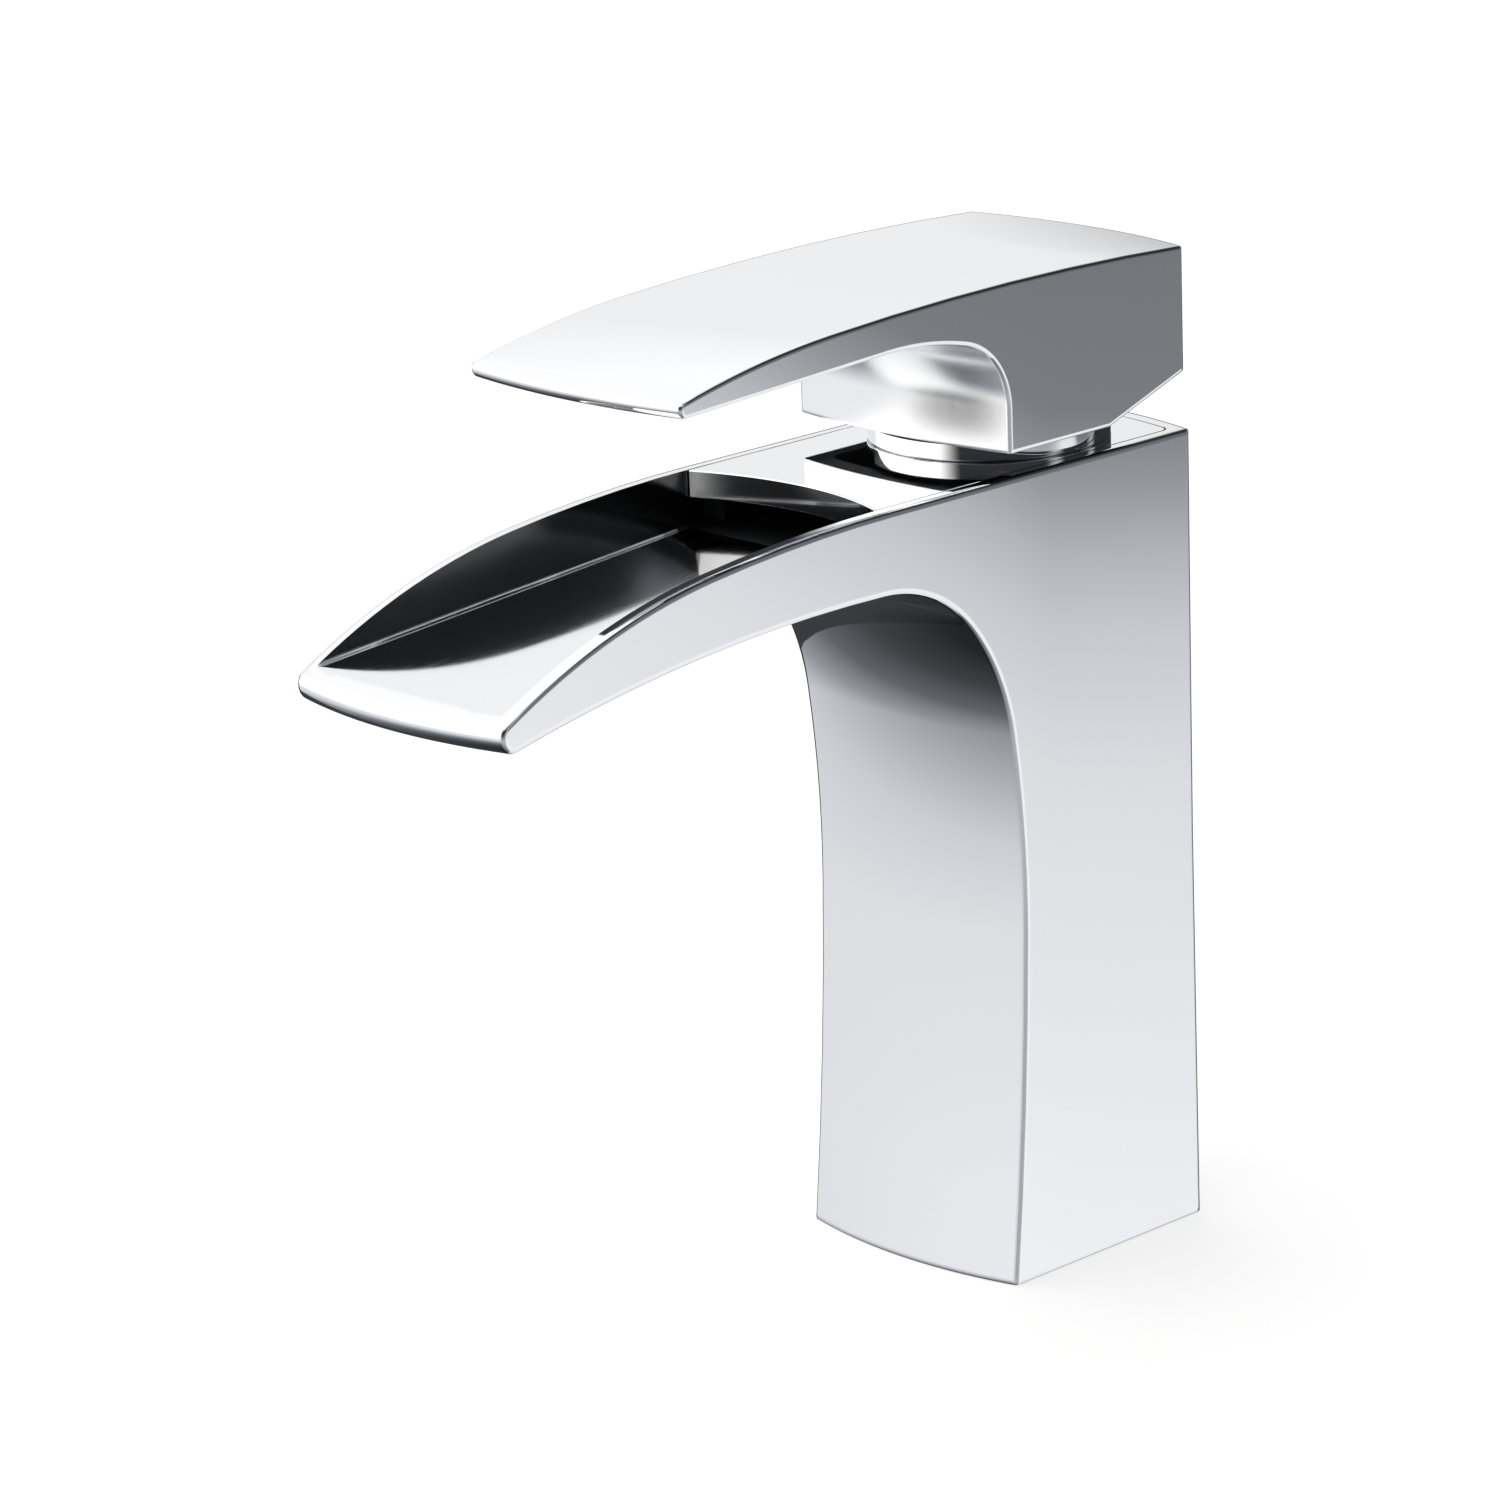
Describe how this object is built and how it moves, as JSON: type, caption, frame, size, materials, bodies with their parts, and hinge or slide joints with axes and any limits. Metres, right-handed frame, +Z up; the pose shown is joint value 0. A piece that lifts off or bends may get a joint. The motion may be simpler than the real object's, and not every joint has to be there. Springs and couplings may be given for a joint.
{
  "type": "waterfall basin faucet",
  "caption": "Single-lever basin mixer with an open waterfall spout, a bowed square column and a flat lever on a round collar.",
  "frame": {"origin": "centre of the threaded stud hole at the underside of the body, on the plane of the deck", "axes": "+Z up along the tap hole, -Y along the spout towards the user, +X to the cold side"},
  "size_m": [0.045, 0.15, 0.16],
  "materials": {
    "chrome_plate": "polished chrome plating on cast brass",
    "handle_chrome": "polished chrome plating on zinc casting",
    "cover_chrome": "polished chrome plating on brass sheet",
    "collar_chrome": "polished chrome plating on turned brass",
    "raw_brass": "turned, bare",
    "white_acetal": "moulded",
    "grey_acetal": "moulded",
    "alumina": "lapped",
    "black_rubber": "moulded",
    "stem_steel": "drawn bar",
    "plug_plastic": "grey, glossy"
  },
  "bodies": {
    "body": {"spout_body": "chrome_plate", "base_gasket": "black_rubber", "cover_plate": "cover_chrome", "plate_gasket": "black_rubber", "collar_ring": "collar_chrome", "cartridge_nut": "raw_brass", "nut_seal": "black_rubber", "cartridge_housing": "white_acetal", "cartridge_base": "grey_acetal", "port_seals": "black_rubber", "disc_seals": "black_rubber", "fixed_disc": "alumina"},
    "swivel": {"stem_guide": "white_acetal", "stem_oring": "black_rubber", "stem_pin": "stem_steel"},
    "lever": {"lever_stem": "stem_steel", "handle": "handle_chrome", "grub_screw": "stem_steel", "index_plug": "plug_plastic"},
    "disc_slide": {"disc_carrier": "grey_acetal", "moving_disc": "alumina"}
  },
  "joints": [
    {"name": "temperature_swivel", "type": "hinge", "parent": "body", "child": "swivel", "pos_m": [0, 0, 0.126], "axis": [0, 0, 1], "range_deg": [-45, 45]},
    {"name": "lever_lift", "type": "hinge", "parent": "swivel", "child": "lever", "pos_m": [0, 0, 0.126], "axis": [-1, 0, 0], "range_deg": [0, 22]},
    {"name": "disc_travel", "type": "slide", "parent": "swivel", "child": "disc_slide", "axis": [0, -1, 0], "range_m": [0, 0.0036]}
  ],
  "couplings": [
    {"joint": "disc_travel", "follows": "lever_lift", "m_per_rad": 0.009268}
  ]
}
